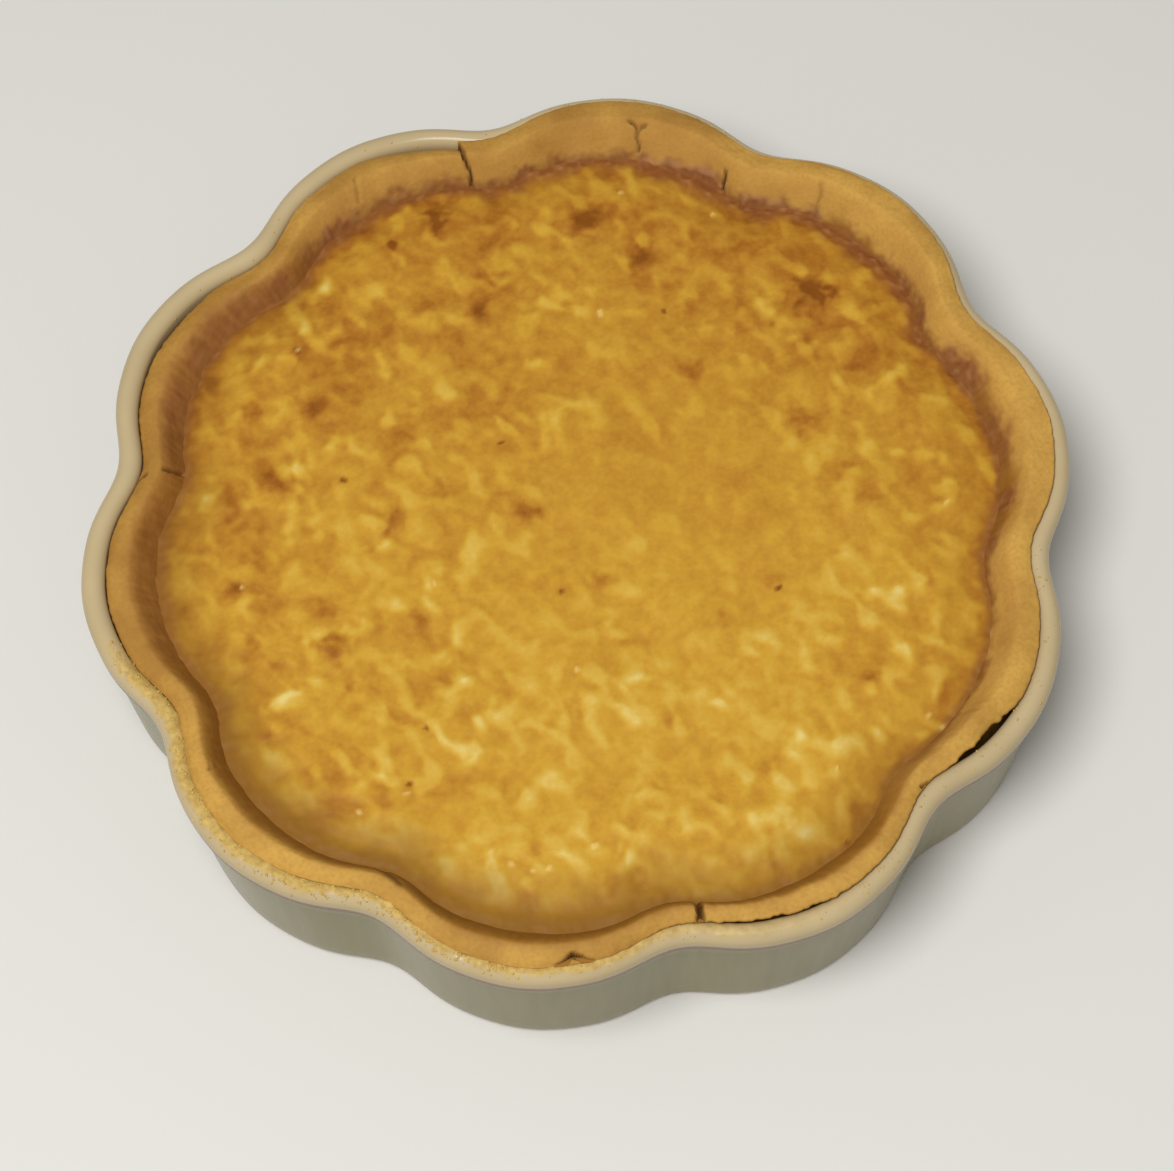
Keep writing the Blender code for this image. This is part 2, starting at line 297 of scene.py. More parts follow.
def dish_section(angle):
    """Rings from the middle of the underside, over the rim, to the inner floor."""
    low = FLOOR_THICKNESS + COVE
    neck = DISH_HEIGHT - NECK_DROP
    bead = DISH_HEIGHT - RIM_WIDTH
    foot = wall_radius(angle, FOOT_ROUND)
    stand = foot - FOOT_ROUND
    rings = [
        (0.30 * stand, FOOT_RING_DEPTH),
        (stand - FOOT_RING_WIDTH - 1.5 * MM, FOOT_RING_DEPTH),
        (stand - FOOT_RING_WIDTH, 0.3 * MM),
        (stand - FOOT_RING_WIDTH + 0.8 * MM, 0.0),
        (stand, 0.0),
    ]
    for turn in np.linspace(0.0, math.pi / 2, FOOT_RINGS)[1:]:
        rings.append((stand + FOOT_ROUND * math.sin(turn), FOOT_ROUND * (1 - math.cos(turn))))
    for height in np.linspace(FOOT_ROUND, neck, WALL_RINGS)[1:]:
        rings.append((wall_radius(angle, height), height))
    step = rim_radius(angle) - wall_radius(angle, neck)
    for share, out in BEAD_FLARE:
        rings.append((wall_radius(angle, neck) + step * out, mix(neck, bead, share)))
    centre = rim_radius(angle) - RIM_WIDTH / 2
    for turn in np.linspace(BEAD_START, math.pi, RIM_RINGS):
        height = DISH_HEIGHT - RIM_WIDTH / 2 + RIM_WIDTH / 2 * math.sin(turn)
        rings.append((centre + RIM_WIDTH / 2 * math.cos(turn), height))
    for height in np.linspace(DISH_HEIGHT - RIM_WIDTH / 2, low, INSIDE_RINGS)[1:]:
        rings.append((inner_radius(angle, height), height))
    cove = inner_radius(angle, low) - COVE
    for turn in np.linspace(0.0, math.pi / 2, COVE_RINGS)[1:]:
        rings.append((cove + COVE * math.cos(turn), FLOOR_THICKNESS + COVE * (1 - math.sin(turn))))
    rings.append((0.3 * cove, FLOOR_THICKNESS))
    return ring_tables(rings, angle)


def smear_window(angle, last=276, fading=24):
    """One where the pastry's edge is smeared over the rim, zero elsewhere, in degrees."""
    degrees = np.degrees(angle)
    return smooth((degrees - SMEAR_START) / SMEAR_RISE) * smooth((last - degrees) / fading)


dish_angles = np.arange(DISH_COLUMNS) * math.tau / DISH_COLUMNS
dish_radii, dish_heights = dish_section(dish_angles)
clay_points = polar_points(dish_angles, dish_radii, dish_heights)
unevenness = noise_at(clay_points, 45 * MM, 1) * 0.25 * MM
above_foot = smooth(dish_heights / (20 * MM))
# Egg and pastry have dried on to the inner half of the rim at the front and left
inwards = rim_radius(dish_angles) - dish_radii
on_rim = smooth((dish_heights - DISH_HEIGHT + RIM_WIDTH / 2) / MM)
grit = noise_at(clay_points, 2.2 * MM, 2)
lumpy = noise_at(clay_points, 7 * MM, 3)
smeared = smooth((inwards / MM - 1.6 + 0.9 * grit + 0.8 * lumpy) / 1.2)
smear = smeared * on_rim * smear_window(dish_angles, 298, 42)
dish_heights = dish_heights + smear * (0.35 + 0.75 * grit) * MM
dish_radii = dish_radii + unevenness * above_foot
glazed_dish = pull_rings("glazed_dish", dish_radii, dish_heights)
paint(glazed_dish, "smear", smear)
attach(glazed_dish, "root")
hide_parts("dish")

# %% [markdown]
# ## Pastry case
# Shortcrust is pressed in by hand, trimmed at the rim and baked. Its top swells into a
# soft ridge, laps over the glaze at the back, sinks inside the rim on the left, and
# shrinks away from the dish at the front right. It tears where it dries first. Every
# fault gets its own small function, so that each can be seen and changed alone.

# %% Where the pastry ends at the rim
CRUST_COLUMNS = 1200
TOP_RINGS = 46
LAP_RINGS = 7
# Gaps beside the dish: middle and half width in degrees, widest place in mm
SHRINK_GAPS = ((315.8, 7.0, 2.5), (281.0, 15.0, 1.2), (141.0, 9.0, 0.9), (113.5, 6.0, 0.7))
# The long tear at the back, how far beside it the pastry has moved, both in degrees, and
# how far back and down
LONG_TEAR = 94.9
TORN_REACH = 18.0
TORN_BACK = 2.2 * MM
TORN_DROP = 1.6 * MM


def custard_edge(angle):
    valley = 0.5 - 0.5 * np.cos(LOBES * angle)
    return rim_radius(angle) - by_lobe(CUSTARD_INSET, angle) + VALLEY_INSET_LESS * valley


def shrink_gap(angle):
    """Places where the pastry stands off the dish, with a crumbled, ragged edge."""
    gap = 0 * angle
    for degrees, half_width, most in SHRINK_GAPS:
        gap = gap + most * MM * hump(degrees_from(angle, degrees), half_width)
    return gap


def torn_step(angle):
    """Beside the long tear at the back one side has drawn back from the rim."""
    from_tear = degrees_from(angle, LONG_TEAR)
    return np.where(from_tear > 0, smooth(1 - from_tear / TORN_REACH), 0.0)


def bare_rim(angle):
    return by_lobe(BARE_RIM, angle)


def slump(bare):
    return SLUMP_SHARE * np.maximum(0.0, bare - RIM_WIDTH)


# %% [markdown]
# Each tear is a short path of points over the pastry. A point is an angle in degrees and
# a share of the way from the pastry's outer edge to the custard.

# %% Tears in the pastry
TEARS = (
    # path of (degrees, share across), width and depth in mm
    (((95.4, 0.00), (94.6, 0.14), (94.7, 0.34), (94.3, 0.60), (94.4, 0.98)), 1.7, 2.2),
    (((71.8, 0.49), (71.1, 0.56), (70.6, 0.66), (70.3, 0.84)), 1.5, 1.3),
    (((69.5, 0.52), (70.2, 0.57), (70.6, 0.66)), 1.4, 1.1),
    (((57.5, 0.60), (57.1, 0.78), (56.9, 1.00)), 1.8, 2.2),
    (((44.6, 0.50), (44.1, 0.64), (43.8, 0.86)), 1.8, 0.7),
    (((109.6, 0.30), (110.4, 0.66)), 1.7, 0.6),
    (((161.9, 0.44), (161.5, 0.56), (160.8, 0.72)), 1.7, 1.5),
    (((163.3, 0.00), (162.8, 0.10)), 1.8, 1.4),
    (((207.3, 0.34), (207.0, 0.50)), 1.4, 0.7),
    (((231.6, 0.72), (232.8, 0.54), (235.6, 0.40)), 4.0, 0.9),
    (((256.2, -0.02), (257.2, 0.06), (257.9, 0.17), (258.7, 0.09), (260.1, -0.02)), 1.9, 3.6),
    (((273.1, 0.00), (273.3, 0.20), (273.6, 0.58)), 3.0, 2.8),
    (((306.4, -0.02), (305.4, 0.03)), 1.8, 1.6),
)
# The width of pastry that the shares in the table stand for
TEAR_SPAN = 15 * MM


def tear_mask(angle, across, width, wander):
    """Depth of the tears, in metres, over the pastry's top; width is the pastry's own."""
    depth = np.zeros(across.shape)
    side = angle * RIM_RADIUS + wander
    along = across * width + wander
    for path, tear_width, deepest in TEARS:
        corners = [(math.radians(degrees) * RIM_RADIUS, share * TEAR_SPAN) for degrees, share in path]
        for (x0, y0), (x1, y1) in zip(corners, corners[1:]):
            length = (x1 - x0) ** 2 + (y1 - y0) ** 2
            share = np.clip(((side - x0) * (x1 - x0) + (along - y0) * (y1 - y0)) / length, 0, 1)
            off = np.hypot(side - x0 - share * (x1 - x0), along - y0 - share * (y1 - y0))
            here = deepest * MM * smooth(1.1 - 2 * off / (tear_width * MM))
            depth = np.maximum(depth, here)
    return depth


# %% Section of the pastry
def lap_rings(angle, bare, gap):
    reach = RIM_WIDTH / 2 + LAP_GAP
    centre = rim_radius(angle) - RIM_WIDTH / 2
    shoulder = DISH_HEIGHT - RIM_WIDTH / 2
    last_turn = np.arccos(np.minimum(1.0, (bare - RIM_WIDTH / 2) / reach))
    rings = []
    for share in np.linspace(0.0, 1.0, LAP_RINGS):
        turn = last_turn * share
        height = shoulder + np.maximum(reach * np.sin(turn), LIP * 1.4 * share) - slump(bare)
        radius = centre - reach * np.cos(turn)
        held_in = np.minimum(radius, inner_radius(angle, height) - LAP_GAP)
        rings.append((np.where(height < shoulder, held_in, radius) - gap, height))
    return rings


def pastry_top(across, edge, ridge, low):
    rising = mix(edge, ridge, np.sin(math.pi / 2 * np.minimum(across / RIDGE_PLACE, 1)) ** 0.8)
    along = np.maximum((across - RIDGE_PLACE) / (1 - RIDGE_PLACE), 0)
    # Half rounded, half a soft S, so that the slope runs out gently into the custard
    fall = 0.5 * along ** 1.5 + 0.5 * smooth(along)
    return np.where(across <= RIDGE_PLACE, rising, mix(ridge, low, fall))


def pastry_ridge(angle, bare):
    lap = np.maximum(0.0, RIM_WIDTH - bare)
    circle = polar_points(angle, WANDER_CIRCLE, WANDER_PLACE + 0 * angle)
    wander = np.array([noise.noise(Vector(point)) for point in circle.tolist()])
    rise = RIDGE_RISE + RIDGE_LAP_SHARE * lap + RIDGE_WANDER * wander
    return DISH_HEIGHT + rise - slump(bare)


crust_angles = np.arange(CRUST_COLUMNS) * math.tau / CRUST_COLUMNS
rim_line = polar_points(crust_angles, rim_radius(crust_angles), DISH_HEIGHT + 0 * crust_angles)
crumble = 0.8 * noise_at(rim_line, 1.8 * MM, 11) + 0.6 * noise_at(rim_line, 4.5 * MM, 12)
bare = bare_rim(crust_angles)
gap = shrink_gap(crust_angles)
ragged = 0.30 * MM + 0.40 * gap
torn = torn_step(crust_angles)
edge_shift = crumble * ragged - TORN_BACK * torn
under = lap_rings(crust_angles, bare, gap)
edge_radius = under[-1][0] + edge_shift
lip = LIP * mix(1.0, 0.25, smear_window(crust_angles))
edge_height = under[-1][1] + lip - TORN_DROP * torn
inner_edge = custard_edge(crust_angles)
low = FLOOR_THICKNESS + COVE
mid = DISH_HEIGHT - 2 * EDGE_DROP
floor = FLOOR_THICKNESS + FIT_GAP
cove_radius = inner_radius(crust_angles, low) - FIT_GAP
rings = [(cove_radius - COVE, floor)]
rings.append((cove_radius - 0.3 * COVE, FLOOR_THICKNESS + 0.3 * COVE + FIT_GAP))
rings.append((cove_radius, low + FIT_GAP))
rings.append((inner_radius(crust_angles, mid) - FIT_GAP - 0.3 * gap, mid))
for share, (radius, height) in zip(np.linspace(0, 1, LAP_RINGS), under):
    rings.append((radius + edge_shift * share, height - TORN_DROP * torn * share))
rings.append((edge_radius + 0.30 * MM, edge_height - 0.5 * lip))
first_top_ring = len(rings)

# %% Top of the pastry with its tears and crumbly surface
# Places in degrees where the brown differs from that of the lobes beside them
BACK_VALLEY = 127
FRONT_VALLEY = 307
SOFT_FOLD = 235


def beside(degrees, half_width):
    return hump(degrees_from(crust_angles, degrees), half_width)


across = np.linspace(0.0, 1.0, TOP_RINGS)[:, None] + 0 * crust_angles
top_radii = mix(edge_radius, inner_edge, across)
ridge = pastry_ridge(crust_angles, bare)
top_heights = pastry_top(across, edge_height, ridge, DISH_HEIGHT - EDGE_DROP)
top_points = polar_points(crust_angles, top_radii, top_heights)
lumps = noise_at(top_points, 14 * MM, 21) * 0.55 * MM + noise_at(top_points, 6 * MM, 22) * 0.22 * MM
crumbs = noise_at(top_points, 2.4 * MM, 23)
grain = noise_at(top_points, 1.1 * MM, 24)
away_from_edges = smooth(across / 0.1) * smooth((1 - across) / 0.08)
tear_wander = 0.5 * MM * noise_at(top_points, 2.5 * MM, 28)
tears = tear_mask(crust_angles, across, edge_radius - inner_edge, tear_wander)
# The brown lower slope is soft at the left and front, reddish and granular elsewhere
patchy = noise_at(rim_line, 11 * MM, 29)
rosy = by_lobe(ROSY, crust_angles) * smooth(0.9 + 1.3 * patchy)
wander = 0.10 * noise_at(top_points, 5 * MM, 25) + 0.07 * noise_at(top_points, 2 * MM, 26)
brown_at = by_lobe(BROWN_AT, crust_angles) - 0.18 * beside(FRONT_VALLEY, 10)
brown_at = brown_at - 0.10 * beside(BACK_VALLEY, 12)
brown_at = brown_at + 0.08 * noise_at(rim_line, 16 * MM, 30) - 0.12 * rosy * patchy
brown_width = by_lobe(BROWN_WIDTH, crust_angles)
brown = smooth((across - brown_at + wander * mix(0.5, 1.0, rosy)) / brown_width + 0.5)
# Beside the soft fold at the front left less brown is painted, a painted light on a slope
# that falls into shade; low down at the front right it stays lighter
brown = brown * (1 - 0.70 * beside(SOFT_FOLD, 13) * hump(across - 0.45, 0.4))
brown = brown * (1 - 0.45 * beside(FRONT_VALLEY, 12) * smooth((across - 0.4) / 0.2))
# Streaks that run down the slope: noise on a cylinder whose height is squeezed
streaky_points = polar_points(crust_angles, RIM_RADIUS + 0 * across, across * 4 * MM)
streaky = noise_at(streaky_points, 1.5 * MM, 27)
roughness = mix(0.12, 0.42, brown * mix(0.2, 1.0, rosy)) * MM
top_heights = top_heights + (lumps + crumbs * roughness + grain * 0.07 * MM) * away_from_edges - tears
rings += list(zip(top_radii, top_heights))

inner_foot = inner_radius(crust_angles, low) - CASE_WALL
rings.append((mix(inner_edge, inner_foot, 0.3) - 0.1 * CASE_WALL, mid))
rings.append((inner_foot, low + CASE_FLOOR))
rings.append((inner_foot - COVE, floor + CASE_FLOOR))
crust_radii, crust_heights = ring_tables(rings, crust_angles)
pastry_case = pull_rings("pastry_case", crust_radii, crust_heights)
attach(pastry_case, "root")
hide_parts("crust")

# %% [markdown]
# Values on the vertices tell the pastry's material where it is brown, reddish or torn
# and how far across it lies. Rings that aren't part of the top stay at zero.

# %% Paint the pastry's values
def top_table(values):
    table = np.zeros(crust_radii.shape)
    table[first_top_ring:first_top_ring + TOP_RINGS] = values
    return table


across_table = top_table(across)
across_table[first_top_ring + TOP_RINGS:] = 1.0
paint(pastry_case, "across", across_table)
paint(pastry_case, "brown", top_table(brown))
paint(pastry_case, "gilded", top_table(by_lobe(GILDED, crust_angles) + 0 * across))
paint(pastry_case, "rosy", top_table(rosy + 0 * across))
# This value also paints the tears dark, partly a painted shade in their openings
paint(pastry_case, "torn", top_table(np.clip(tears / (2.0 * MM), 0, 1)))
paint(pastry_case, "streaky", top_table(0.5 + 0.6 * streaky))
# Along the top of the reddish slope at the back right, from 26 to 78 degrees, a pale line
# is painted through the granules' value
crust_degrees = np.degrees(crust_angles)
blush_line = hump(across - brown_at - 0.03, 0.09) * smooth((crust_degrees - 26) / 12)
blush_line = blush_line * smooth((78 - crust_degrees) / 12)
paint(pastry_case, "granules", top_table(0.5 + 0.42 * crumbs + 0.40 * blush_line))

# %% [markdown]
# ## Custard
# Egg and cream rise a little in the middle, sink at the edge, and skin over with soft
# wrinkles and brown blisters. A fine square grid is rounded into the case's outline,
# because rings would crowd together in the middle. Its border is then pulled down and
# filled, which makes it a closed body.

# %% Browned patches, pale streaks and other marks of the skin
# Browned patches: x and y of the middle, radius, all in mm, and strength
BROWNED = (
    (-23, 112, 6.0, 1.0), (-38, 105, 2.5, 1.0), (-33, 80, 4.5, 0.6), (-16, 75, 4.5, 0.6),
    (-44, 75, 3.5, 0.5), (-72, 73, 4.0, 0.5), (-46, 38, 4.5, 0.5), (-88, 55, 5.0, 0.5),
    (-71, 52, 5.0, 0.5), (-85, 30, 5.0, 0.6), (-101, 26, 4.0, 0.4), (-55, 10, 5.5, 0.7),
    (-15, 4, 5.0, 0.7), (-38, 16, 6.0, 0.4), (-100, 70, 6.0, 0.5), (-65, 91, 5.0, 0.5),
    (85, 59, 8.0, 0.9), (101, 53, 3.0, 0.6), (43, 42, 5.0, 0.6), (72, 18, 7.0, 0.6),
    (63, 55, 5.0, 0.5), (21, 100, 6.0, 0.6), (37, 84, 7.0, 0.7), (77, 0, 6.0, 0.4),
    (2, -22, 4.0, 0.5), (52, -32, 4.0, 0.4), (-78, -27, 5.5, 0.9), (-78, -16, 5.0, 0.6),
    (-112, -20, 6.0, 0.5), (-53, -23, 3.5, 0.5), (-103, -2, 4.0, 0.5), (-90, -80, 7.0, 0.6),
    (-102, -50, 2.5, 0.5), (-95, -30, 3.0, 0.5), (-33, -99, 4.5, 0.5), (-72, -76, 4.0, 0.4),
    (70, -69, 3.5, 0.5), (35, -65, 4.0, 0.4), (12, -68, 4.0, 0.4), (91, -78, 4.0, 0.5),
    (58, -108, 5.0, 0.7), (64, -109, 4.0, 0.7), (36, -90, 5.0, 0.4), (35, -41, 4.0, 0.4),
    (-10, -116, 7.0, 0.6), (34, -119, 6.0, 0.6), (-38, -116, 6.0, 0.6), (-118, -6, 5.0, 0.5),
)
# Pale streaks: x and y of both ends in mm
PALE_STREAKS = (
    (-86, 70, -83, 72), (-79, 79, -70, 81), (-60, 76, -61, 71), (-62, 93, -54, 97),
    (-16, 88, -8, 85), (-1, 76, 16, 68), (-10, 55, -2, 54), (1, 34, 7, 35),
    (-4, 34, -5, 27), (-79, 34, -84, 13), (-106, 28, -103, 30), (-68, 39, -62, 40),
    (-61, 1, -56, 2), (-48, -12, -44, -11), (69, 61, 72, 50), (99, 1, 109, -3),
    (96, -19, 106, -18), (94, 23, 101, 27), (75, 47, 81, 43), (-100, -43, -86, -37),
    (-76, -42, -71, -50), (-78, -70, -69, -69), (-48, -47, -45, -45), (-39, -59, -32, -55),
    (-43, -32, -47, -36), (-84, -22, -71, -23), (-27, -63, -20, -64), (2, -37, 7, -55),
    (22, -65, 27, -67), (44, -84, 49, -84), (66, -86, 71, -85), (81, -64, 83, -61),
    (77, -42, 94, -43), (-15, -104, -7, -110), (32, -108, 42, -111), (1, -92, 5, -92),
)
# Small dark specks, and wet spots that are glossier and get a painted highlight: x and y in mm
SPECKS = ((-18, 29), (-66, 26), (-10, -23), (53, -36), (-64, -73), (-56, -59), (54, -115), (39, 64))
WET_GLINT_SPOTS = (
    (-44, -99), (-40, -104), (-35, -107), (-30, -107), (-80, -79), (-65, -76), (-101, -2),
    (-45, -13), (106, -18), (55, -93), (85, -82), (88, -87), (-16, -102), (35, 108),
    (-72, 73), (62, 96), (-9, -48), (20, 66),
)
CUSTARD_GRID = 300


def disc_from_square(grid):
    """Rounds a square that spans -1 to 1 into a disc of radius 1."""
    x, y = grid[:, 0], grid[:, 1]
    return np.stack((x * np.sqrt(1 - y * y / 2), y * np.sqrt(1 - x * x / 2)), axis=1)


bpy.ops.object.select_all(action="DESELECT")
bpy.ops.mesh.primitive_grid_add(x_subdivisions=CUSTARD_GRID, y_subdivisions=CUSTARD_GRID, size=2)
baked_custard = bpy.context.object
baked_custard.name = "baked_custard"
baked_custard.data.name = "baked_custard"
disc = disc_from_square(vertex_places(baked_custard))
turn = np.arctan2(disc[:, 1], disc[:, 0])
share = np.hypot(disc[:, 0], disc[:, 1])
# The custard reaches a little under the pastry's surface, so that no gap shows
EDGE_OVERLAP = 2.2 * MM
edge = custard_edge(turn) + EDGE_OVERLAP
# The lobes fade towards the middle, so that the rows of faces stay smooth there
reach = share * mix(np.mean(edge), edge, smooth(share))
custard_x = reach * np.cos(turn)
custard_y = reach * np.sin(turn)
from_border = edge - EDGE_OVERLAP - reach
distance = np.maximum(from_border, 0.0)
flat_points = np.stack((custard_x, custard_y, 0 * reach), axis=-1)
rise = np.sin(math.pi / 2 * np.minimum(distance / CROWN_SLOPE, 1.0))
custard_z = DISH_HEIGHT - mix(EDGE_DROP, CROWN_DROP, rise)
custard_z += BUMP_HEIGHT * noise_at(flat_points, BUMP_SPACING, 0) * smooth(distance / CROWN_SLOPE)

# %% Marks on the custard's skin
warp_x = 2.2 * noise_at(flat_points, 10 * MM, 31) + 0.5 * noise_at(flat_points, 3 * MM, 32)
warp_y = 2.2 * noise_at(flat_points, 10 * MM, 33) + 0.5 * noise_at(flat_points, 3 * MM, 34)
marked_x = custard_x + MM * warp_x
marked_y = custard_y + MM * warp_y
marked_points = np.stack((marked_x, marked_y, 0 * reach), axis=-1)
wide = noise_at(flat_points, 28 * MM, 35)
clouds = noise_at(marked_points, 14 * MM, 43)
clots = noise_at(marked_points, 8 * MM, 36)
flecks = noise_at(marked_points, 4 * MM, 37)
fine = noise_at(marked_points, 2.2 * MM, 38)


def add_spot(field, x, y, radius, strength, hardness=1.0):
    off = np.hypot(marked_x - x * MM, marked_y - y * MM) / (radius * MM)
    np.maximum(field, strength * smooth(hardness * (1.3 - off) + 0.4 * fine), out=field)


def add_streak(field, x0, y0, x1, y1, half_width, strength):
    long = math.hypot(x1 - x0, y1 - y0)
    along = ((marked_x / MM - x0) * (x1 - x0) + (marked_y / MM - y0) * (y1 - y0)) / long
    beyond = np.maximum(0, np.maximum(-along, along - long))
    off = ((marked_x / MM - x0) * (y1 - y0) - (marked_y / MM - y0) * (x1 - x0)) / long
    off += 0.6 * half_width * fine
    faded = strength * np.exp(-(off / half_width) ** 2 - (beyond / half_width / 1.6) ** 2)
    np.maximum(field, faded, out=field)


browned = np.zeros(len(reach))
pale = np.zeros(len(reach))
specks = np.zeros(len(reach))
wet_glint_spots = np.zeros(len(reach))
for x, y, radius, strength in BROWNED:
    add_spot(browned, x, y, radius, strength, 0.7)
for x0, y0, x1, y1 in PALE_STREAKS:
    add_streak(pale, x0, y0, x1, y1, 2.3, 1.0)
for x, y in SPECKS:
    add_spot(specks, x, y, 0.9, 1.0, 1.3)
for x, y in WET_GLINT_SPOTS:
    add_spot(wet_glint_spots, x, y, 0.9, 1.0, 1.3)
# Pale streaks mostly run from the back left to the front right
SLANT = math.radians(-60)
slanted = np.stack((
    (marked_x * math.cos(SLANT) + marked_y * math.sin(SLANT)) / 1.7,
    marked_y * math.cos(SLANT) - marked_x * math.sin(SLANT),
    0 * reach), axis=-1)
streaks = noise_at(slanted, 4.6 * MM, 39)
clusters = smooth(0.5 + 1.5 * noise_at(flat_points, 16 * MM, 40))
# Right of the middle it is smooth, and the left is the most mottled
CALM_X, CALM_Y = 30, 5
calm = np.exp(-((custard_x / MM - CALM_X) / 45) ** 2 - ((custard_y / MM - CALM_Y) / 42) ** 2)
left = smooth(0.5 - custard_x / MM / 160)
far = smooth(0.5 + custard_y / MM / 160)
light_marks = smooth((streaks + 0.3 * clots + 0.05) / 0.6) * mix(0.5, 1.0, clusters)
dark_marks = smooth((0.1 - 0.75 * clouds - 0.45 * clots) / 0.65) * mix(0.45, 1.0, np.maximum(left, far))
tone = 0.56 + 0.10 * wide - 0.15 * far - 0.02 * custard_x / RIM_RADIUS
tone -= 0.10 * (custard_x / RIM_RADIUS) ** 2
tone += (0.27 * light_marks - 0.13 * dark_marks + 0.13 * flecks + 0.05 * fine) * mix(1.0, 0.40, calm)
tone += 0.24 * pale * (0.6 + 1.2 * flecks) - 0.46 * browned
creep = noise_at(flat_points, 7 * MM, 41) + 0.6 * noise_at(flat_points, 2.6 * MM, 42)
# The custard is darker within about nine millimetres of its border
darker_by_border = smooth(1 - (distance / MM + 3 * creep) / 9)
tone -= 0.16 * darker_by_border + 0.13 * hump(distance / MM + 2 * creep - 20, 11) * by_lobe(INNER_RING, turn)
tan = smooth(1 - (distance / MM + 2 * creep) / 20) * by_lobe(BORDER_TAN, turn)
border_line = np.stack((edge * np.cos(turn), edge * np.sin(turn), 0 * edge), axis=-1)
stain_reach = by_lobe(STAIN_REACH, turn) * (1 + 0.8 * noise_at(border_line, 9 * MM, 44))
stain = smooth(1.15 - (from_border / MM + 1.2 * creep + 1.0) / (stain_reach + 1.0))
rosy_border = by_lobe(ROSY, turn)
granules = noise_at(flat_points, 2.0 * MM, 45)
inside = smooth(distance / (4 * MM))
relief = 0.30 * clots + 0.24 * flecks + 0.08 * fine + 0.28 * light_marks + 0.10 * pale
relief += 0.30 * browned - 0.4 * specks + 0.25 * wet_glint_spots
custard_z += relief * MM * inside * mix(1.0, 0.5, calm)
custard_z += 0.3 * MM * granules * stain * rosy_border
# At its border the custard has crept up the pastry, most at the left and front
crept = 0.5 + 0.7 * creep + 1.1 * by_lobe(BORDER_TAN, turn)
custard_z += crept * MM * (1 - smooth(from_border / (6 * MM)))
places = np.stack((custard_x, custard_y, custard_z), axis=1)
baked_custard.data.vertices.foreach_set("co", places.ravel())
skin_values = {"tone": tone, "tan": tan, "specks": specks, "wet_glint_spots": wet_glint_spots,
               "stain": stain, "rosy": rosy_border, "granules": 0.5 + 0.5 * granules}
for name, values in skin_values.items():
    attribute = baked_custard.data.attributes.new(name, "FLOAT", "POINT")
    attribute.data.foreach_set("value", values.astype(np.float32))

# %% Close the custard
bpy.ops.object.mode_set(mode="EDIT")
bpy.ops.mesh.select_mode(type="EDGE")
bpy.ops.mesh.select_all(action="DESELECT")
bpy.ops.mesh.select_non_manifold(extend=False, use_wire=False, use_multi_face=False,
                                 use_non_contiguous=False, use_verts=False)
steps = ((mid - DISH_HEIGHT + EDGE_DROP, 0.965), (low + CASE_FLOOR - mid, 0.955), (-COVE, 0.90))
for drop, shrink in steps:
    bpy.ops.mesh.extrude_edges_move(TRANSFORM_OT_translate={"value": (0, 0, drop)})
    bpy.ops.transform.resize(value=(shrink, shrink, 1), center_override=(0, 0, 0))
bpy.ops.mesh.edge_face_add()
bpy.ops.mesh.select_mode(type="VERT")
face_outwards()
print("custard faces:", len(baked_custard.data.polygons))
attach(baked_custard, "root")
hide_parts("filling")

# %% [markdown]
# ## Crumbs
# Trimming a pastry case leaves crumbs on the rim, most at the left and front. Copies of
# one rough little chip, each turned, sized and squashed by a seeded draw, are joined
# into one mesh.

# %% One crumb
bpy.ops.object.select_all(action="DESELECT")
bpy.ops.mesh.primitive_ico_sphere_add(subdivisions=2, radius=1.0)
crumb = bpy.context.object
crumb_points = np.array([vertex.co[:] for vertex in crumb.data.vertices])
crumb_faces = np.array([face.vertices[:] for face in crumb.data.polygons])
crumb_points *= 1 + 0.45 * noise_at(crumb_points, 0.9, 41)[:, None]
bpy.data.objects.remove(crumb)

# %% Scatter the crumbs on the rim
CRUMB_STRETCHES = (
    # from and to in degrees, how many, smallest and largest radius in mm
    (186, 252, 620, 0.20, 0.60),
    (252, 300, 90, 0.15, 0.40),
    (300, 344, 60, 0.15, 0.45),
    (85, 140, 14, 0.20, 0.35),
    (20, 85, 50, 0.20, 0.50),
)
draw = np.random.default_rng(7)
all_points = []
all_faces = []
for start, end, count, smallest, largest in CRUMB_STRETCHES:
    for _ in range(count):
        angle = np.array([math.radians(draw.uniform(start, end))])
        size = mix(smallest, largest, draw.random() ** 2.2) * MM
        uncovered = float(bare_rim(angle)[0])
        inwards = uncovered * draw.beta(2.6, 1.5)
        lean = math.acos(np.clip((RIM_WIDTH / 2 - inwards) / (RIM_WIDTH / 2), -0.95, 0.95))
        radius = float(rim_radius(angle)[0]) - RIM_WIDTH / 2 + RIM_WIDTH / 2 * math.cos(lean)
        height = DISH_HEIGHT - RIM_WIDTH / 2 + RIM_WIDTH / 2 * math.sin(lean)
        spin = Matrix.Rotation(draw.uniform(0, math.tau), 3, Vector(draw.normal(size=3)))
        stretch = np.array((draw.uniform(0.8, 1.3), draw.uniform(0.7, 1.1), draw.uniform(0.45, 0.8)))
        shape = (crumb_points * stretch * size) @ np.array(spin)
        shape += (radius * math.cos(angle[0]), radius * math.sin(angle[0]), height + 0.35 * size)
        all_faces.append(crumb_faces + len(all_points) * len(crumb_points))
        all_points.append(shape)
crumb_mesh = bpy.data.meshes.new("pastry_crumbs")
crumb_mesh.from_pydata(np.concatenate(all_points).tolist(), [], np.concatenate(all_faces).tolist())
pastry_crumbs = bpy.data.objects.new("pastry_crumbs", crumb_mesh)
bpy.context.scene.collection.objects.link(pastry_crumbs)
pastry_crumbs.data.shade_smooth()
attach(pastry_crumbs, "root")
print("crumbs:", len(all_points), "with", len(crumb_mesh.polygons), "faces")

# %% [markdown]
# ## Colours and nodes
# Colours are picked as sRGB hex values, as a paint program shows them. Shaders work in
# linear light, so one function turns them. One more adds a node with its settings and
# its links, and a node that is named as the source of a link gives its main output.

